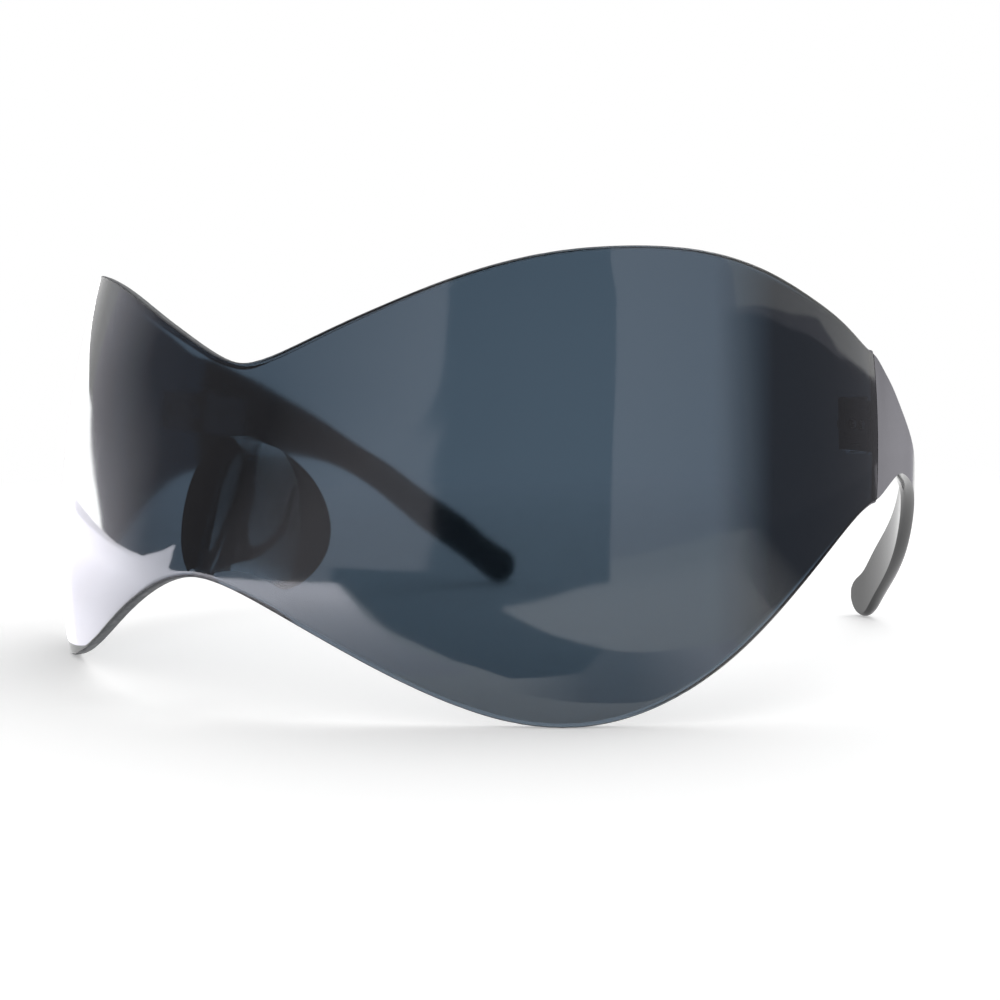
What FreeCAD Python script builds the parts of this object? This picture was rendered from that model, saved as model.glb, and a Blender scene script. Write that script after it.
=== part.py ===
import FreeCAD, Part
import math
import os

# Rimless shield sunglasses. One smoke polycarbonate shield wraps round the face in two deep lobes,
# a moulded nose saddle is bonded behind its bridge, and two short temples hang from its ends on small
# three-knuckle metal hinges. Millimetres, the front faces -Y and +X is the wearer's left. The glasses
# stand open on their two lobes and two temple tips, and the origin is the middle of that underside.

Vector = FreeCAD.Vector

# Plan of the shield, half of it: three tangent runs from the centre line to its end
front_length = 43.0
front_sweep = 19.5
corner_length = 50.0
corner_sweep = 61.5
side_length = 15.5
side_sweep = 15.0

# Shield wall and the shape of its surface
shield_thickness = 2.0
edge_rounding = 0.5
vertical_radius = 150.0
widest_height = 27.0
lean_angle = 5.7
beak_depth = 6.2
beak_half_width = 32.0

# Heights of the shield's outline at the bridge, the lobe and the end
bridge_bottom = 18.3
bridge_top = 48.5
lobe_top = 63.6
end_bottom = 27.2
end_top = 49.3

# Temple: plan, wall, and the height of its blade at the waist and at the paddle behind it
knee_angle = 7.5
root_length = 14.0
root_sweep = 1.0
straight_length = 17.0
ear_length = 39.5
ear_sweep = 38.0
temple_thickness = 2.2
waist_height = 7.0
paddle_height = 9.3
tip_radius = 3.8

# Hinge
seam_gap = 0.3
barrel_radius = 1.5
barrel_clearance = 0.3
knuckle_height = 2.4
knuckle_gap = 0.1
leaf_length = 9.0
leaf_thickness = 1.0
leaf_relief = 0.4
neck_thickness = 1.0
screw_radius = 0.7
screw_head_radius = 1.2
screw_head_height = 0.7
screw_slot_width = 0.35
screw_slot_depth = 0.3
running_clearance = 0.04

# Studs that hold the hinge leaves
stud_radius = 0.6
stud_depth = 1.2
stud_head_radius = 1.1
stud_head_height = 0.5
stud_places = (4.3, 7.2)
stud_clearance = 0.03

# Nose saddle
saddle_top = 37.4
saddle_bottom = 15.9
saddle_half_width = 14.2
saddle_foot_half_width = 8.6
saddle_flare_angle = 40.0
saddle_foot_rise_angle = 20.0
saddle_top_rear = 4.8
saddle_rear = 8.0
saddle_foot_rear = 3.4
saddle_foot_margin = 1.0
nose_ridge_height = 19.3
nose_ridge_rise = 1.9
nose_half_width_low = 9.6
nose_half_width_high = 6.0
seat_gap = 0.06

# Outline between those heights, as shares of each rise, and the places of its points along the half
upper_shares = (0.0, 0.19, 0.515, 0.87, 1.0)
upper_end_shares = (0.14, 0.54, 1.0)
lower_shares = (0.0, 0.146, 0.485, 0.892, 0.983)
lower_end_shares = (0.31, 0.754, 1.0)
station_shares = (0.0, 0.10, 0.22, 0.38, 0.55, 0.72, 0.86, 1.0)

# Blade of the temple: share of its length, of its middle line's fall to the tip, and of its change in height
waist_stations = (
    (0.095, 0.022, 0.21),
    (0.19, 0.046, 0.46),
    (0.28, 0.08, 0.69),
    (0.38, 0.14, 0.85),
    (0.47, 0.217, 0.96),
    (0.565, 0.325, 1.0),
)
paddle_stations = (
    (0.66, 0.455, 0.40),
    (0.75, 0.602, 0.70),
    (0.85, 0.75, 0.95),
    (0.94, 0.896, 1.0),
)

# Round end of the blade in tip radii: reach past its centre, lower edge and upper edge about that centre
tip_outline = (
    (0.0, -1.0, 1.2),
    (0.5, -0.87, 0.9),
    (0.8, -0.6, 0.62),
    (0.95, -0.31, 0.33),
)

# Arch of the saddle from its foot to its crown, in shares of its half width and of its height
saddle_arch = ((0.95, 0.12), (1.0, 0.3), (0.9, 0.56), (0.68, 0.81))

# Working sizes of the construction solids
overshoot = 1.0
reach = 60.0
saddle_blank_lead = 8.0
profile_points = 7
shield_sections = 12


def walk(start, heading, runs, distance):
    """Point and heading in radians at a distance along tangent runs of (length, sweep in degrees)."""
    x, y = start
    angle = heading
    left = distance
    for length, sweep in runs:
        step = min(left, length)
        turn = math.radians(sweep) * step / length
        chord = step if turn == 0 else 2 * step / turn * math.sin(turn / 2)
        x += chord * math.cos(angle + turn / 2)
        y += chord * math.sin(angle + turn / 2)
        angle += turn
        left -= step
    x += left * math.cos(angle)
    y += left * math.sin(angle)
    return x, y, angle


shield_runs = (
    (front_length, front_sweep),
    (corner_length, corner_sweep),
    (side_length, side_sweep),
)
half_length = front_length + corner_length + side_length
temple_runs = (
    (root_length, root_sweep),
    (straight_length, 0.0),
    (ear_length, ear_sweep),
)
temple_length = root_length + straight_length + ear_length
saddle_height = saddle_top - saddle_bottom
hinge_height = (end_bottom + end_top) / 2
lean = math.tan(math.radians(lean_angle))
end_x, end_y, end_heading = walk((0.0, 0.0), 0.0, shield_runs, half_length)
temple_start = end_heading + math.radians(knee_angle)


def sag(height):
    """How far the vertically curved surface falls back from its widest height."""
    return (height - widest_height) ** 2 / (2 * vertical_radius)


def beak(distance, height):
    """How far the bridge comes forward over the nose, from nothing at its top to all of it at its bottom."""
    drop = (bridge_top - height) / (bridge_top - bridge_bottom)
    drop = max(0.0, min(1.0, drop))
    ease = drop * drop * (3 - 2 * drop)
    return beak_depth * ease * math.exp(-((distance / beak_half_width) ** 2))


def shield_point(distance, height, depth):
    """Point of the shield at a signed distance along its plan and a depth behind its outer face."""
    x, y, angle = walk((0.0, 0.0), 0.0, shield_runs, abs(distance))
    out = -sag(height) - depth
    side = math.copysign(1.0, distance)
    forward = beak(distance, height) - lean * (height - widest_height)
    return Vector(side * (x + math.sin(angle) * out), y - math.cos(angle) * out - forward, height)


def temple_point(distance, height, depth):
    """Point of the left temple. Its root keeps the shield's lean and curve, which fade out along it."""
    x, y, angle = walk((end_x, end_y), temple_start, temple_runs, max(distance, 0.0))
    back = min(distance, 0.0)
    x += back * math.cos(angle)
    y += back * math.sin(angle)
    kept = max(0.0, 1.0 - max(distance, 0.0) / (root_length + straight_length))
    out = -sag(height) * kept - depth
    shift = lean * (height - widest_height) * kept
    return Vector(x + math.sin(angle) * out, y - math.cos(angle) * out + shift, height)


def strip(point, distance, lower, upper, front, back):
    """Closed section across a curved wall, with rounded lower and upper edges."""
    shares = [i / (profile_points - 1) for i in range(profile_points)]
    heights = [lower + (upper - lower) * share for share in shares]
    outer = [point(distance, height, front) for height in heights]
    inner = [point(distance, height, back) for height in reversed(heights)]
    middle = (front + back) / 2
    top = point(distance, upper + edge_rounding, middle)
    bottom = point(distance, lower - edge_rounding, middle)
    edges = []
    for points in (outer, inner):
        curve = Part.BSplineCurve()
        curve.interpolate(Points=points, Parameters=shares)
        edges.append(curve.toShape())
    top_edge = Part.Arc(outer[-1], top, inner[0]).toShape()
    bottom_edge = Part.Arc(inner[-1], bottom, outer[0]).toShape()
    return Part.Wire([edges[0], top_edge, edges[1], bottom_edge])


def edge_curve(distances, heights):
    """Smooth edge of the shield over both halves, read at a signed distance along its plan."""
    both = [-distance for distance in reversed(distances[1:])] + list(distances)
    levels = list(reversed(heights[1:])) + list(heights)
    curve = Part.BSplineCurve()
    curve.interpolate(Points=[Vector(d, 0, z) for d, z in zip(both, levels)], Parameters=both)
    return curve


def shield_outline():
    """Stations across the shield, evenly spaced: distance, lower edge, upper edge."""
    upper = [bridge_top + (lobe_top - bridge_top) * share for share in upper_shares]
    upper += [lobe_top + (end_top - lobe_top) * share for share in upper_end_shares]
    lower = [bridge_bottom * (1 - share) for share in lower_shares]
    lower += [end_bottom * share for share in lower_end_shares]
    distances = [half_length * share for share in station_shares]
    upper_edge = edge_curve(distances, upper)
    lower_edge = edge_curve(distances, lower)
    rows = []
    for index in range(-shield_sections, shield_sections + 1):
        distance = half_length * index / shield_sections
        rows.append((distance, lower_edge.value(distance).z, upper_edge.value(distance).z))
    left_end = (half_length + overshoot, end_bottom, end_top)
    right_end = (-half_length - overshoot, end_bottom, end_top)
    return [right_end] + rows + [left_end]


def shield_wall(stations, front, back):
    """Solid wall through the stations, from one depth to another behind the shield's outer face."""
    wires = []
    for distance, lower, upper in stations:
        trim = edge_rounding
        wires.append(strip(shield_point, distance, lower + trim, upper - trim, front, back))
    return Part.makeLoft(wires, True)


def mirrored(shape):
    """The same piece on the wearer's right."""
    return shape.mirror(Vector(0, 0, 0), Vector(1, 0, 0))


def frame_at(origin, heading, up):
    """Placement whose X runs back along a heading, Y runs inwards and Z runs up along the hinge pin."""
    outward = Vector(math.sin(heading), -math.cos(heading), 0)
    along = up.cross(outward).normalize()
    return FreeCAD.Placement(origin, FreeCAD.Rotation(along, up.cross(along), up, "ZXY"))


def block(x_range, y_range, z_range):
    """Box between two limits on each axis."""
    corner = Vector(x_range[0], y_range[0], z_range[0])
    sizes = [limits[1] - limits[0] for limits in (x_range, y_range, z_range)]
    return Part.makeBox(sizes[0], sizes[1], sizes[2], corner)


# Seam and hinge pin of the left side
axis_offset = barrel_radius + barrel_clearance
seam_heading = end_heading + math.radians(knee_angle) / 2
pin_direction = shield_point(half_length, end_top, 0) - shield_point(half_length, end_bottom, 0)
pin_direction.normalize()
seam_place = frame_at(shield_point(half_length, hinge_height, 0), seam_heading, pin_direction)
pin_point = seam_place.multVec(Vector(0, shield_thickness + axis_offset, 0))
leaf_height = 3 * knuckle_height + 2 * knuckle_gap
front_leaf_heading = walk((0.0, 0.0), 0.0, shield_runs, half_length - leaf_length / 2)[2]
temple_leaf_heading = walk((end_x, end_y), temple_start, temple_runs, leaf_length / 2)[2]
pin_place = frame_at(pin_point, seam_heading, pin_direction)
front_leaf_place = frame_at(pin_point, front_leaf_heading, pin_direction)
temple_leaf_place = frame_at(pin_point, temple_leaf_heading, pin_direction)


def placed(shape, place):
    """A shape made in a local frame, moved to its place."""
    moved = shape.copy()
    moved.transformShape(place.toMatrix())
    return moved


def beyond_seam(direction):
    """Everything behind (+1) or ahead (-1) of the seam, with half the seam gap on its other side."""
    near = -direction * seam_gap / 2
    far = direction * reach
    limits = (min(near, far), max(near, far))
    return placed(block(limits, (-reach, reach), (-reach, reach)), seam_place)


def stud_row(radius, from_y, to_y, direction):
    """Cylinders across a leaf at the stud places, between two depths in the leaf's frame."""
    row = []
    for place in stud_places:
        base = Vector(direction * place, to_y, 0)
        row.append(Part.makeCylinder(radius, to_y - from_y, base, Vector(0, -1, 0)))
    return row


def stud_holes(direction):
    """Holes for one leaf's studs, through the leaf and blind in the wall behind it."""
    bottom = -axis_offset - stud_depth - running_clearance
    return Part.makeCompound(stud_row(stud_radius + stud_clearance, bottom, 0.0, direction))


def hinge_leaf(direction, knuckles, seat, place):
    """One hinge leaf: a plate seated on the wall, and necks that carry its knuckles round the pin."""
    inner_face = leaf_thickness - axis_offset
    plate_start = barrel_radius + leaf_relief
    ends = sorted((direction * plate_start, direction * leaf_length))
    plate = block(ends, (-axis_offset - overshoot, inner_face), (-leaf_height / 2, leaf_height / 2))
    plate = plate.cut(placed(seat, place.inverse()))
    plate = max(plate.Solids, key=lambda solid: solid.Volume)
    leaf = plate
    for level in knuckles:
        low = level * (knuckle_height + knuckle_gap) - knuckle_height / 2
        high = low + knuckle_height
        neck_ends = sorted((0.0, direction * (plate_start + leaf_relief)))
        neck = block(neck_ends, (inner_face - neck_thickness / 2, inner_face), (low, high))
        barrel = Part.makeCylinder(barrel_radius, knuckle_height, Vector(0, 0, low))
        leaf = leaf.fuse([neck, barrel])
    bore = Part.makeCylinder(screw_radius + running_clearance, leaf_height, Vector(0, 0, -leaf_height / 2))
    leaf = leaf.cut(bore).cut(stud_holes(direction)).removeSplitter()
    return placed(leaf, place)


def leaf_studs(direction, place):
    """The studs of one leaf: a low head on the leaf and a shank set in the wall."""
    inner_face = leaf_thickness - axis_offset
    shanks = stud_row(stud_radius, -axis_offset - stud_depth, inner_face, direction)
    heads = stud_row(stud_head_radius, inner_face, inner_face + stud_head_height, direction)
    studs = [shank.fuse(head).removeSplitter() for shank, head in zip(shanks, heads)]
    return placed(Part.makeCompound(studs), place)


def hinge_screw():
    """Slotted screw that is the pin of the hinge."""
    top = leaf_height / 2
    shank = Part.makeCylinder(screw_radius, leaf_height, Vector(0, 0, -top))
    head = Part.makeCylinder(screw_head_radius, screw_head_height, Vector(0, 0, top))
    half = screw_slot_width / 2
    slot_floor = top + screw_head_height - screw_slot_depth
    slot_length = (-screw_head_radius, screw_head_radius)
    slot = block(slot_length, (-half, half), (slot_floor, top + screw_head_height))
    return placed(shank.fuse(head).cut(slot).removeSplitter(), pin_place)


def blade_outline():
    """Stations of the left temple: distance, lower edge, upper edge."""
    rows = [(-overshoot, end_bottom, end_top), (0.0, end_bottom, end_top)]
    root_height = end_top - end_bottom
    blade_stretches = (
        (waist_stations, root_height, waist_height),
        (paddle_stations, waist_height, paddle_height),
    )
    for stations, before, after in blade_stretches:
        for length_share, fall_share, height_share in stations:
            middle = hinge_height + (tip_radius - hinge_height) * fall_share
            height = before + (after - before) * height_share
            rows.append((temple_length * length_share, middle - height / 2, middle + height / 2))
    for past, lower, upper in tip_outline:
        distance = temple_length + past * tip_radius
        rows.append((distance, tip_radius * (1 + lower), tip_radius * (1 + upper)))
    return rows


def temple_wall(extra):
    """Temple blade from its seam to its tip, its inner face a little deeper for a seat cutter."""
    wires = []
    for distance, lower, upper in blade_outline():
        trim = edge_rounding
        back = temple_thickness + extra
        wires.append(strip(temple_point, distance, lower + trim, upper - trim, 0.0, back))
    return Part.makeLoft(wires, True)


def saddle_ring(back):
    """Outline of the saddle across the glasses, which flares and deepens towards the face."""
    flare = 1 + math.tan(math.radians(saddle_flare_angle)) * (back - saddle_rear) / saddle_half_width
    foot_rise = math.tan(math.radians(saddle_foot_rise_angle)) * (saddle_foot_rear - back)
    foot_level = saddle_bottom + foot_rise
    half_outline = [Vector(saddle_foot_half_width * flare, back, foot_level)]
    for width_share, height_share in saddle_arch:
        level = foot_level + (saddle_top - foot_level) * height_share
        half_outline.append(Vector(saddle_half_width * width_share * flare, back, level))
    other_half = [Vector(-point.x, point.y, point.z) for point in reversed(half_outline)]
    arch = Part.BSplineCurve()
    arch.interpolate(half_outline + [Vector(0, back, saddle_top)] + other_half)
    foot_crown = Vector(0, back, bridge_bottom + saddle_foot_margin)
    foot = Part.Arc(other_half[-1], foot_crown, half_outline[0])
    return Part.Wire([arch.toShape(), foot.toShape()])


def nose_saddle(seat):
    """Saddle: an arched pad behind the bridge with a channel for the nose, its front on the shield."""
    front = -saddle_blank_lead
    back = saddle_rear + overshoot
    pad = Part.makeLoft([saddle_ring(front), saddle_ring(back)], True, True)
    rear = Part.BSplineCurve()
    rear.interpolate([
        Vector(-reach, saddle_top_rear, saddle_top + overshoot),
        Vector(-reach, saddle_rear, saddle_bottom + saddle_height / 2),
        Vector(-reach, saddle_foot_rear, saddle_bottom - overshoot),
    ])
    low_front = Vector(-reach, front, saddle_bottom - overshoot)
    high_front = Vector(-reach, front, saddle_top + overshoot)
    lines = Part.makePolygon([rear.EndPoint, low_front, high_front, rear.StartPoint])
    profile = Part.Wire([rear.toShape()] + lines.Edges)
    pad = pad.common(Part.Face(profile).extrude(Vector(2 * reach, 0, 0)))
    ridge_start = shield_point(0.0, nose_ridge_height, shield_thickness).y
    rings = []
    for level, half_width in ((0.0, nose_half_width_low), (saddle_top, nose_half_width_high)):
        ridge = ridge_start + (level - nose_ridge_height) / nose_ridge_rise
        circle = Part.Wire([Part.Circle(Vector(0, 0, 0), Vector(0, 0, 1), 1.0).toShape()])
        matrix = FreeCAD.Matrix()
        matrix.scale(Vector(half_width, back - ridge, 1.0))
        matrix.move(Vector(0, back, level))
        rings.append(circle.transformGeometry(matrix))
    channel = Part.makeLoft(rings, True, True)
    pad = pad.cut(channel).cut(seat)
    return max(pad.Solids, key=lambda solid: solid.Volume)


# Shield
stations = shield_outline()
shield = shield_wall(stations, 0.0, shield_thickness)
seat = shield_wall(stations, 0.0, shield_thickness + seat_gap)
nose_reach = 2 * beak_half_width
nose_stations = [(d, low - saddle_height, high) for d, low, high in stations if abs(d) < nose_reach]
nose_seat = shield_wall(nose_stations, -saddle_blank_lead - saddle_rear, shield_thickness + seat_gap)
left_limit = beyond_seam(1)
shield = shield.cut(left_limit).cut(mirrored(left_limit))
front_holes = placed(stud_holes(-1), front_leaf_place)
shield = shield.cut(front_holes).cut(mirrored(front_holes))

# Left temple and hinge, and their mirror images
temple = temple_wall(0.0).cut(beyond_seam(-1)).cut(placed(stud_holes(1), temple_leaf_place))
temple_seat = temple_wall(seat_gap)
left_pieces = {
    "temple": temple,
    "hinge_front_leaf": hinge_leaf(-1, (-1, 1), seat, front_leaf_place),
    "hinge_temple_leaf": hinge_leaf(1, (0,), temple_seat, temple_leaf_place),
    "hinge_screw": hinge_screw(),
    "front_leaf_studs": leaf_studs(-1, front_leaf_place),
    "temple_leaf_studs": leaf_studs(1, temple_leaf_place),
}

pieces = {"shield_lens": shield, "nose_saddle": nose_saddle(nose_seat)}
for name, shape in left_pieces.items():
    pieces["left_" + name] = shape
    pieces["right_" + name] = mirrored(shape)

# The origin goes to the middle of the underside
whole = Part.makeCompound(list(pieces.values())).optimalBoundingBox(False, False)
to_origin = Vector(0, -(whole.YMin + whole.YMax) / 2, -whole.ZMin)
pin_point = pin_point + to_origin

os.makedirs("parts", exist_ok=True)
for name, shape in pieces.items():
    shape.translate(to_origin)
    shape.exportStep("parts/" + name + ".step")
    box = shape.optimalBoundingBox(False, False)
    print(name, len(shape.Solids), shape.isValid(), round(shape.Volume, 1),
          [round(v, 2) for v in (box.XMin, box.XMax, box.YMin, box.YMax, box.ZMin, box.ZMax)])
print("pin of the left hinge", pin_point, pin_direction)
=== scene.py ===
import math

import bpy
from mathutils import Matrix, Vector
from mathutils.bvhtree import BVHTree


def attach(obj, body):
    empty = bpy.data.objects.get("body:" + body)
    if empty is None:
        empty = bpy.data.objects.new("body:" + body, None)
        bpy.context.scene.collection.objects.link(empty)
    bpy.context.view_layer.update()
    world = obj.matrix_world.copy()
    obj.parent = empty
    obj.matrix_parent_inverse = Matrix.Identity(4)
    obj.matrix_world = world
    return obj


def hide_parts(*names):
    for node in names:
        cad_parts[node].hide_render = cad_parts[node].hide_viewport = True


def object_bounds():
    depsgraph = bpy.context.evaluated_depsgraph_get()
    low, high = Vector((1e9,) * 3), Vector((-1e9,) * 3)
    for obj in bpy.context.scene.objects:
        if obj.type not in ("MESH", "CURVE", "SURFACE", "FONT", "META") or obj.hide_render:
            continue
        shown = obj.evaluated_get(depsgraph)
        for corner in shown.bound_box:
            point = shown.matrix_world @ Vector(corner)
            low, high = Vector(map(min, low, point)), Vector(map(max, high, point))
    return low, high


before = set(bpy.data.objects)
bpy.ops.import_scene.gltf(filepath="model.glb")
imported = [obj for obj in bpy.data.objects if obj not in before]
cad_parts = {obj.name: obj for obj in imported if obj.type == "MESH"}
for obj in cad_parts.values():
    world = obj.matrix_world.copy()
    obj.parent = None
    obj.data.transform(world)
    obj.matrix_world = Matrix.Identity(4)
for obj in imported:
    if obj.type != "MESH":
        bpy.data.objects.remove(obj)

cad_low, cad_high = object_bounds()


# Shield
# One sheet of smoke polycarbonate that wraps from temple to temple, injection moulded, polished on both
# faces and left without a rim. Its bridge comes forward over the nose, and the nose saddle and the hinges
# are fixed to its inner face.
MM = 0.001
shield_runs = ((43.0, 19.5), (50.0, 61.5), (15.5, 15.0))
shield_half_length = sum(length for length, turn in shield_runs)
shield_thickness = 2.0
shield_edge_rounding = 0.5
shield_crown_radius = 150.0
shield_widest_height = 27.0
shield_lean = math.radians(5.7)
bridge_bottom, bridge_top = 18.3, 48.5
bridge_forward, bridge_half_width = 6.2, 32.0
end_bottom, end_top = 27.2, 49.3
hinge_level = (end_bottom + end_top) / 2
below_shield, above_shield = -5.0, 70.0
edge_probe = 3.0
edge_halvings = 14
end_overrun, end_margin = 1.5, 1.0
seam_turn = math.radians(3.75)
seam_half_gap = 0.15
plan_to_part = Vector((0.0, -58.555, 0.123))


def shield_plan(distance):
    """Place and heading of the shield's plan line at a distance from its middle, on the wearer's left."""
    x, y, heading, left = 0.0, 0.0, 0.0, distance
    for length, turn in shield_runs:
        step = min(left, length)
        sweep = math.radians(turn) * step / length
        chord = 2 * math.sin(sweep / 2) * length / math.radians(turn)
        x += chord * math.cos(heading + sweep / 2)
        y += chord * math.sin(heading + sweep / 2)
        heading += sweep
        left -= step
    return x + left * math.cos(heading), y + left * math.sin(heading), heading


def shield_point(distance, height, outward=0.0):
    """A point on the shield's outer face, or off it by a distance outwards."""
    x, y, heading = shield_plan(abs(distance))
    drop = min(1.0, max(0.0, (bridge_top - height) / (bridge_top - bridge_bottom)))
    forward = bridge_forward * drop * drop * (3 - 2 * drop) * math.exp(-((distance / bridge_half_width) ** 2))
    forward -= math.tan(shield_lean) * (height - shield_widest_height)
    outward -= (height - shield_widest_height) ** 2 / (2 * shield_crown_radius)
    across = math.copysign(x + math.sin(heading) * outward, distance)
    return (Vector((across, y - math.cos(heading) * outward - forward, height)) + plan_to_part) * MM


cad_shield = BVHTree.FromObject(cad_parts["shield_lens"], bpy.context.evaluated_depsgraph_get())


def shield_edge(distance, beyond):
    """Height of the shield's edge at a distance round its plan, looked for towards a height beyond it."""
    inside = hinge_level
    for _ in range(edge_halvings):
        middle = (inside + beyond) / 2
        start = shield_point(distance, middle, edge_probe)
        way = shield_point(distance, middle) - start
        if cad_shield.ray_cast(start, way.normalized(), 2 * edge_probe * MM)[0] is None:
            beyond = middle
        else:
            inside = middle
    return inside


bpy.ops.object.select_all(action="DESELECT")
bpy.ops.mesh.primitive_grid_add(x_subdivisions=240, y_subdivisions=32, size=2.0)
shield = bpy.context.object
shield.name = "polished_shield"
for slot in ("faces", "rim"):
    shield.data.materials.append(bpy.data.materials.new(slot))
edge_heights = {}
for vertex in shield.data.vertices:
    distance = vertex.co.x * (shield_half_length + end_overrun)
    share = (vertex.co.y + 1) / 2
    held = max(end_margin - shield_half_length, min(shield_half_length - end_margin, distance))
    if held not in edge_heights:
        edge_heights[held] = (shield_edge(held, below_shield), shield_edge(held, above_shield))
    lower, upper = edge_heights[held]
    vertex.co = shield_point(distance, lower + (upper - lower) * share)

wall = shield.modifiers.new("wall", "SOLIDIFY")
wall.thickness = shield_thickness * MM
wall.offset = -1.0
wall.use_even_offset = True
wall.material_offset_rim = 1
bpy.ops.object.modifier_apply(modifier="wall")
rounding = shield.modifiers.new("rounding", "BEVEL")
rounding.width = shield_edge_rounding * MM
rounding.segments = 3
rounding.limit_method = "ANGLE"
rounding.angle_limit = math.radians(50)
bpy.ops.object.modifier_apply(modifier="rounding")

# Each end is trimmed by a plane along the hinge's pin, half a gap short of the temple's root.
pin_way = shield_point(shield_half_length, end_top) - shield_point(shield_half_length, end_bottom)
pin_way.normalize()
seam_heading = shield_plan(shield_half_length)[2] + seam_turn
seam_way = pin_way.cross(Vector((math.sin(seam_heading), -math.cos(seam_heading), 0.0))).normalized()
seam_place = shield_point(shield_half_length, hinge_level) - seam_way * seam_half_gap * MM
bpy.ops.object.mode_set(mode="EDIT")
bpy.ops.mesh.select_mode(type="FACE")
for side in (1, -1):
    bpy.ops.mesh.select_all(action="DESELECT")
    bpy.ops.object.mode_set(mode="OBJECT")
    for polygon in shield.data.polygons:
        polygon.select = side * polygon.center.x > 0
    bpy.ops.object.mode_set(mode="EDIT")
    bpy.ops.mesh.bisect(
        plane_co=(side * seam_place.x, seam_place.y, seam_place.z),
        plane_no=(side * seam_way.x, seam_way.y, seam_way.z),
        use_fill=True, clear_outer=True)
bpy.ops.object.mode_set(mode="OBJECT")
bpy.ops.object.shade_smooth_by_angle(angle=math.radians(40))
evenness = shield.modifiers.new("evenness", "WEIGHTED_NORMAL")
evenness.keep_sharp = True
evenness.weight = 90
bpy.ops.object.modifier_apply(modifier="evenness")


def linear(hex_colour):
    """An sRGB hex colour as linear red, green, blue and alpha."""
    channels = [int(hex_colour[i:i + 2], 16) / 255 for i in (1, 3, 5)]
    return tuple(c / 12.92 if c <= 0.04045 else ((c + 0.055) / 1.055) ** 2.4 for c in channels) + (1.0,)


def add_node(tree, kind, settings=None, inputs=None):
    """Adds a node, sets its properties and its inputs. An input is a value or a socket to link."""
    node = tree.nodes.new(kind)
    for name, value in (settings or {}).items():
        setattr(node, name, value)
    for name, value in (inputs or {}).items():
        if isinstance(value, bpy.types.NodeSocket):
            tree.links.new(value, node.inputs[name])
        else:
            node.inputs[name].default_value = value
    return node


def new_material(name):
    """An empty node material with its output."""
    material = bpy.data.materials.new(name)
    material.use_nodes = True
    material.node_tree.nodes.clear()
    output = add_node(material.node_tree, "ShaderNodeOutputMaterial")
    return material, material.node_tree, output


# Polished polycarbonate: clear gloss, with a trace of haze that drifts over 25 mm patches, and a blue-grey
# dye all through it, so that a long way through the sheet, as along its edge, is nearly black.
shield_dye_per_metre = 1340.0
shield_plastic, tree, output = new_material("smoke_polycarbonate_polished")
place = add_node(tree, "ShaderNodeTexCoord")
haze = add_node(tree, "ShaderNodeTexNoise", inputs={
    "Vector": place.outputs["Object"], "Scale": 1 / (25 * MM), "Detail": 3.0})
haze = add_node(tree, "ShaderNodeMapRange", inputs={
    "Value": haze.outputs["Fac"], "From Min": 0.3, "From Max": 0.7, "To Min": 0.04, "To Max": 0.08})
skin = add_node(tree, "ShaderNodeBsdfPrincipled", inputs={
    "Base Color": linear("#ffffff"),
    "Transmission Weight": 1.0,
    "IOR": 1.586,
    "Specular IOR Level": 0.35,
    "Roughness": haze.outputs["Result"],
})
dye = add_node(tree, "ShaderNodeVolumeAbsorption", inputs={
    "Color": linear("#006c8d"), "Density": shield_dye_per_metre})
tree.links.new(skin.outputs["BSDF"], output.inputs["Surface"])
tree.links.new(dye.outputs["Volume"], output.inputs["Volume"])
shield.data.materials[0] = shield_plastic

# Cut edge of the same sheet: matt from the trimming cutter and so deep in dye that it draws a dark outline.
shield_rim, tree, output = new_material("smoke_polycarbonate_cut_edge")
place = add_node(tree, "ShaderNodeTexCoord")
scuffs = add_node(tree, "ShaderNodeTexNoise", inputs={
    "Vector": place.outputs["Object"], "Scale": 1 / (0.8 * MM), "Detail": 3.0})
matt = add_node(tree, "ShaderNodeMapRange", inputs={
    "Value": scuffs.outputs["Fac"], "From Min": 0.3, "From Max": 0.7, "To Min": 0.40, "To Max": 0.60})
skin = add_node(tree, "ShaderNodeBsdfPrincipled", inputs={
    "Base Color": linear("#262a30"),
    "IOR": 1.586,
    "Specular IOR Level": 0.3,
    "Roughness": matt.outputs["Result"],
})
tree.links.new(skin.outputs["BSDF"], output.inputs["Surface"])
shield.data.materials[1] = shield_rim
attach(shield, "front")
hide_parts("shield_lens")


# Nose saddle
# A pad of clear smoke polycarbonate, moulded in one piece to the back of the bridge and bonded there. A
# channel runs through it for the nose, and it flares on each side.


def dress(node_name, material):
    """Gives a CAD node its finish."""
    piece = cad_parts[node_name]
    piece.data.materials.clear()
    piece.data.materials.append(material)


# Moulded polycarbonate: glossy and clear, with a slow ripple over 9 mm left by its shrinking in the mould, so
# that what lies behind it bends, and a grey dye that goes to black where the pad is thick.
saddle_dye_per_metre = 600.0
saddle_plastic, tree, output = new_material("smoke_polycarbonate_moulded")
place = add_node(tree, "ShaderNodeTexCoord")
ripple = add_node(tree, "ShaderNodeTexNoise", inputs={
    "Vector": place.outputs["Object"], "Scale": 1 / (9 * MM), "Detail": 1.0})
dent = add_node(tree, "ShaderNodeBump", inputs={
    "Height": ripple.outputs["Fac"], "Strength": 0.25, "Distance": 0.4 * MM})
skin = add_node(tree, "ShaderNodeBsdfPrincipled", inputs={
    "Base Color": linear("#ffffff"),
    "Transmission Weight": 1.0,
    "IOR": 1.586,
    "Roughness": 0.05,
    "Normal": dent.outputs["Normal"],
})
dye = add_node(tree, "ShaderNodeVolumeAbsorption", inputs={
    "Color": linear("#202020"), "Density": saddle_dye_per_metre})
tree.links.new(skin.outputs["BSDF"], output.inputs["Surface"])
tree.links.new(dye.outputs["Volume"], output.inputs["Volume"])
dress("nose_saddle", saddle_plastic)


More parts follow.
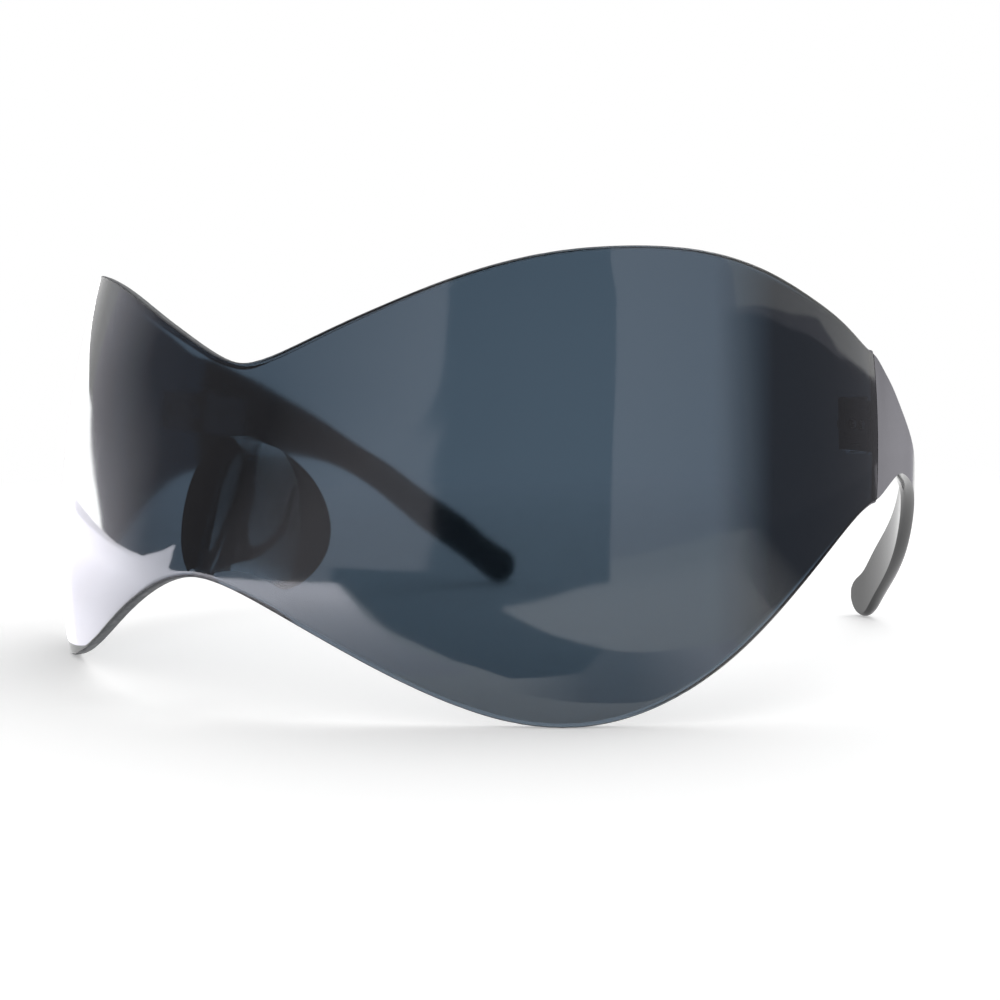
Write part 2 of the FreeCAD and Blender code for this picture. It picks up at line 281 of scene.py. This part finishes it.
# Temples
# Moulded polycarbonate arms, broad at the root and curled round the ear, polished all over. Each carries a
# hinge leaf let into its root and turns on the screw behind the seam.

# Black polycarbonate: dyed so densely that only its gloss shows, with a slight unevenness of polish. That is
# drawn over 1.2 mm, coarser than it is, so that it shows.
temple_plastic, tree, output = new_material("black_polycarbonate_moulded")
place = add_node(tree, "ShaderNodeTexCoord")
grain = add_node(tree, "ShaderNodeTexNoise", inputs={
    "Vector": place.outputs["Object"], "Scale": 1 / (1.2 * MM), "Detail": 4.0})
polish = add_node(tree, "ShaderNodeMapRange", inputs={
    "Value": grain.outputs["Fac"], "From Min": 0.3, "From Max": 0.7, "To Min": 0.08, "To Max": 0.13})
skin = add_node(tree, "ShaderNodeBsdfPrincipled", inputs={
    "Base Color": linear("#121215"),
    "IOR": 1.586,
    "Roughness": polish.outputs["Result"],
})
tree.links.new(skin.outputs["BSDF"], output.inputs["Surface"])
for hand in ("left", "right"):
    dress(hand + "_temple", temple_plastic)


# Hinges
# Stamped three-knuckle hinges of gunmetal-plated steel, each turning on a slotted screw. Two pressed studs
# hold each leaf to the shield or the temple.

# Gunmetal plating on rolled steel: a dull grey sheen with faint lines from the rolling, 0.3 mm apart.
hinge_steel, tree, output = new_material("gunmetal_plated_steel")
place = add_node(tree, "ShaderNodeTexCoord")
rolled = add_node(tree, "ShaderNodeMapping", inputs={
    "Vector": place.outputs["Object"], "Scale": (1.0, 0.1, 1.0)})
lines = add_node(tree, "ShaderNodeTexNoise", inputs={
    "Vector": rolled.outputs["Vector"], "Scale": 1 / (0.3 * MM), "Detail": 2.0})
wear = add_node(tree, "ShaderNodeMapRange", inputs={
    "Value": lines.outputs["Fac"], "From Min": 0.3, "From Max": 0.7, "To Min": 0.25, "To Max": 0.40})
skin = add_node(tree, "ShaderNodeBsdfPrincipled", inputs={
    "Base Color": linear("#66666c"),
    "Metallic": 1.0,
    "Roughness": wear.outputs["Result"],
})
tree.links.new(skin.outputs["BSDF"], output.inputs["Surface"])
for hand in ("left", "right"):
    for part in (
            "hinge_front_leaf", "hinge_temple_leaf", "hinge_screw", "front_leaf_studs", "temple_leaf_studs"):
        dress(hand + "_" + part, hinge_steel)


# Floor
# A sheet of white paper under the object, which fades into the white of the room. It belongs to the studio
# and not to the object.
floor_fade_near, floor_fade_far = 0.12, 0.45
floor_lift_seen, floor_lift_mirrored = 0.35, 0.6
bpy.ops.object.select_all(action="DESELECT")
bpy.ops.mesh.primitive_plane_add(size=12.0, location=(0, 0, cad_low.z))
floor = bpy.context.object
floor.name = "floor"

# White paper: matt, and lifted to white for the eye and in mirrors, so that only the shadows near the object
# show. Far out it is as white as the room.
floor_paper, tree, output = new_material("white_paper")
path = add_node(tree, "ShaderNodeLightPath")
seen = add_node(tree, "ShaderNodeMath", {"operation": "MAXIMUM"}, {
    0: path.outputs["Is Camera Ray"], 1: path.outputs["Is Glossy Ray"]})
seen = add_node(tree, "ShaderNodeMath", {"operation": "MAXIMUM"}, {
    0: seen.outputs[0], 1: path.outputs["Is Transmission Ray"]})
place = add_node(tree, "ShaderNodeTexCoord")
reach = add_node(tree, "ShaderNodeVectorMath", {"operation": "LENGTH"}, {0: place.outputs["Object"]})
far = add_node(tree, "ShaderNodeMapRange", {"interpolation_type": "SMOOTHSTEP"}, {
    "Value": reach.outputs["Value"], "From Min": floor_fade_near, "From Max": floor_fade_far})
far = add_node(tree, "ShaderNodeMath", {"operation": "MULTIPLY"}, {
    0: far.outputs["Result"], 1: seen.outputs[0]})
through = add_node(tree, "ShaderNodeMath", {"operation": "SUBTRACT"}, {
    0: 1.0, 1: path.outputs["Is Transmission Ray"]})
mirrored = add_node(tree, "ShaderNodeMath", {"operation": "MULTIPLY"}, {
    0: path.outputs["Is Glossy Ray"], 1: through.outputs[0]})
lift = add_node(tree, "ShaderNodeMath", {"operation": "MULTIPLY"}, {
    0: path.outputs["Is Camera Ray"], 1: floor_lift_seen})
lift = add_node(tree, "ShaderNodeMath", {"operation": "MULTIPLY_ADD"}, {
    0: mirrored.outputs[0], 1: floor_lift_mirrored, 2: lift.outputs[0]})
paper = add_node(tree, "ShaderNodeBsdfDiffuse", inputs={"Color": linear("#f1f1f1")})
glow = add_node(tree, "ShaderNodeEmission", inputs={"Strength": lift.outputs[0]})
near_paper = add_node(tree, "ShaderNodeAddShader", inputs={
    0: paper.outputs["BSDF"], 1: glow.outputs["Emission"]})
white = add_node(tree, "ShaderNodeEmission")
mixed = add_node(tree, "ShaderNodeMixShader", inputs={
    0: far.outputs[0], 1: near_paper.outputs["Shader"], 2: white.outputs["Emission"]})
tree.links.new(mixed.outputs["Shader"], output.inputs["Surface"])
floor.data.materials.append(floor_paper)


# Studio
# A white room with a low strip lamp on the wearer's right and a softbox behind. The cards show only in
# reflections: black flags, grey walls, bright and shaded papers. A dark card shows only through the left end.
room_fill = 0.6
scene = bpy.context.scene
world = bpy.data.worlds.new("white_room")
scene.world = world
world.use_nodes = True
tree = world.node_tree
tree.nodes.clear()
path = add_node(tree, "ShaderNodeLightPath")
seen = add_node(tree, "ShaderNodeMath", {"operation": "MAXIMUM"}, {
    0: path.outputs["Is Camera Ray"], 1: path.outputs["Is Glossy Ray"]})
seen = add_node(tree, "ShaderNodeMath", {"operation": "MAXIMUM"}, {
    0: seen.outputs[0], 1: path.outputs["Is Transmission Ray"]})
strength = add_node(tree, "ShaderNodeMapRange", inputs={
    "Value": seen.outputs[0], "To Min": room_fill, "To Max": 1.0})
background = add_node(tree, "ShaderNodeBackground", inputs={
    "Color": linear("#ffffff"), "Strength": strength.outputs["Result"]})
add_node(tree, "ShaderNodeOutputWorld", inputs={"Surface": background.outputs["Background"]})


def softbox(name, stand, target, width, height, radiance):
    """A soft area lamp that faces a target, and that is seen only where it lights or is mirrored."""
    lamp = bpy.data.lights.new(name, "AREA")
    lamp.shape = "RECTANGLE"
    lamp.size, lamp.size_y = width * MM, height * MM
    lamp.energy = radiance * math.pi * lamp.size * lamp.size_y
    rig = bpy.data.objects.new(name, lamp)
    scene.collection.objects.link(rig)
    rig.location = Vector(stand) * MM
    rig.rotation_mode = "QUATERNION"
    rig.rotation_quaternion = (Vector(stand) - Vector(target)).to_track_quat("Z", "Y")
    rig.visible_camera = False
    rig.visible_transmission = False


softbox("strip_lamp", (-860, 310, 78), (20, 153, 78), 770, 155, 4.5)
softbox("rear_softbox", (0, 470, 910), (0, 0, 30), 900, 600, 2.2)


def card(name, corners, radiances, fade, covers=(1.0, 1.0)):
    """A card that only reflections show. Its brightness and its cover change along a fade."""
    mesh = bpy.data.meshes.new(name)
    mesh.from_pydata([Vector(corner) * MM for corner in corners], [], [range(len(corners))])
    sheet = bpy.data.objects.new(name, mesh)
    scene.collection.objects.link(sheet)
    coat, tree, output = new_material(name)
    start, end = Vector(fade[0]) * MM, Vector(fade[1]) * MM
    place = add_node(tree, "ShaderNodeTexCoord")
    along = add_node(tree, "ShaderNodeVectorMath", {"operation": "DOT_PRODUCT"}, {
        0: place.outputs["Object"], 1: end - start})
    steps = {"From Min": start.dot(end - start), "From Max": end.dot(end - start)}
    shade = add_node(tree, "ShaderNodeMapRange", inputs={
        "Value": along.outputs["Value"], "To Min": radiances[0], "To Max": radiances[1], **steps})
    cover = add_node(tree, "ShaderNodeMapRange", inputs={
        "Value": along.outputs["Value"], "To Min": covers[0], "To Max": covers[1], **steps})
    glow = add_node(tree, "ShaderNodeEmission", inputs={
        "Color": linear("#f8f6ff"), "Strength": shade.outputs["Result"]})
    clear = add_node(tree, "ShaderNodeBsdfTransparent")
    mixed = add_node(tree, "ShaderNodeMixShader", inputs={
        0: cover.outputs["Result"], 1: clear.outputs["BSDF"], 2: glow.outputs["Emission"]})
    tree.links.new(mixed.outputs["Shader"], output.inputs["Surface"])
    mesh.materials.append(coat)
    sheet.visible_camera = False
    sheet.visible_diffuse = False
    sheet.visible_transmission = False
    sheet.visible_shadow = False
    return sheet


def upright(azimuth, distance, outline):
    """Points of a card that stands across a direction, given along it and up."""
    a = math.radians(azimuth)
    middle = Vector((math.sin(a), -math.cos(a), 0)) * distance
    along = Vector((math.cos(a), math.sin(a), 0))
    return [middle + along * s + Vector((0, 0, z)) for s, z in outline]


card_lift = 0.3


def lying(outline):
    """Points of a card that lies just above the floor."""
    return [Vector((x, y, card_lift)) for x, y in outline]


card("front_flag", upright(25, 600, (
    (-500, 700), (-400, 470), (-370, 350), (-310, 310), (-230, 200), (-190, 110), (-180, 27), (-310, 65),
    (-310, 0), (253, 0), (230, 200), (228, 430), (200, 500), (200, 700))),
    (0.0, 0.0), upright(25, 600, ((0, 0), (0, 700))))
card("floor_flag", lying((
    (69, -65), (52, -72), (43, -90), (33, -134), (24, -218), (14, -315), (-10, -590), (-80, -1500),
    (1000, -920), (233, -204), (189, -219), (117, -192), (79, -181), (82, -110), (87, -74))),
    (0.0, 0.0), lying(((0, 0), (0, -100))))
card("lobe_shade", lying((
    (87, -74), (88, -67), (91, -60), (101, -40), (106, -26), (99, -24), (81, -36), (67, -43), (61, -50),
    (69, -65))),
    (0.36, 1.35), lying(((82, -58), (97, -37))))
card("lobe_shade_end", lying((
    (69, -65), (52, -72), (49, -66), (56, -56), (61, -50))),
    (0.36, 0.36), lying(((51, -69), (65, -58))), (0.0, 1.0))
card("side_flag", upright(122, 600, (
    (-700, 470), (-290, 308), (-80, 220), (180, 140), (520, 82), (900, 50), (900, 0), (-700, 0))),
    (0.25, 0.25), upright(122, 600, ((-450, 0), (-230, 0))), (0.0, 1.0))
card("side_wall", upright(122, 640, (
    (-740, 540), (-390, 370), (-60, 245), (95, 208), (195, 155), (390, 108), (900, 65), (900, 0), (-740, 0))),
    (0.5, 0.5), upright(122, 640, ((-480, 0), (-250, 0))), (0.0, 1.0))
card("left_wall", upright(62, 900, (
    (-450, 1200), (-450, 0), (560, 0), (560, 1200))), (0.75, 0.75), upright(62, 900, ((0, 0), (0, 100))))
card("side_floor", lying((
    (76, 4), (300, -20), (1500, -60), (1500, 1500), (500, 1500), (72, 60))),
    (0.22, 0.22), lying(((300, -20), (290, 60))), (0.0, 1.0))
card("rear_wall", upright(170, 600, (
    (-60, 300), (-60, 0), (500, 0), (500, 300))), (0.62, 0.62), upright(170, 600, ((0, 0), (0, 300))))
card("rear_floor", lying((
    (72, 60), (500, 1500), (-300, 1500), (66, 90))), (0.6, 0.6), lying(((0, 0), (0, 100))))
card("grey_wall", upright(-20, 800, (
    (-340, 1100), (-340, 0), (600, 0), (600, 1100))), (0.2, 0.8), upright(-20, 800, ((-340, 0), (120, 0))))
card("grey_wall_end", upright(-65, 800, (
    (-330, 1100), (-330, 0), (345, 0), (345, 1100))), (1.0, 0.25), upright(-65, 800, ((-330, 0), (-50, 0))))
card("bright_paper", lying((
    (46, -78), (0, -80), (-65, -70), (-600, -400), (-600, -590), (-12, -590), (12, -315), (27, -164),
    (36, -104))), (1.2, 4.8), lying(((45, -90), (-20, -240))))
card("end_paper", lying((
    (-48, -58), (-62, -40), (-70, -8), (-1300, 700), (-1300, -900))),
    (3.3, 4.6), lying(((-105, -55), (-143, -111))))
card("low_paper", upright(-65, 790, (
    (-900, 0), (-900, 45), (-250, 12), (-70, 20), (60, 80), (147, 140), (135, 50), (120, 0))),
    (3.4, 4.4), upright(-65, 790, ((-250, 0), (-70, 0))))
end_card = card("end_card", (
    (48, -3, 1), (48, 68, 1), (48, 68, 90), (48, -3, 90)),
    (0.15, 0.15), ((48, -3, 0), (48, 17, 0)), (0.0, 1.0))
end_card.visible_glossy = False
end_card.visible_transmission = True


# Camera
# It stands at the height of the shield, in front of the wearer's left lobe, and looks slightly down across
# the bridge.
camera_data = bpy.data.cameras.new("camera")
camera_data.sensor_width = 36.0
camera_data.lens = 59.115
camera_data.clip_start = 0.01
camera = bpy.data.objects.new("camera", camera_data)
scene.collection.objects.link(camera)
camera.location = Vector((173.194, -221.999, 48.374)) * MM
camera.rotation_euler = Vector((-0.60206, 0.79404, -0.08419)).to_track_quat("-Z", "Y").to_euler()
camera.rotation_euler.rotate_axis("Z", math.radians(-0.537))
scene.camera = camera
scene.view_settings.view_transform = "Standard"
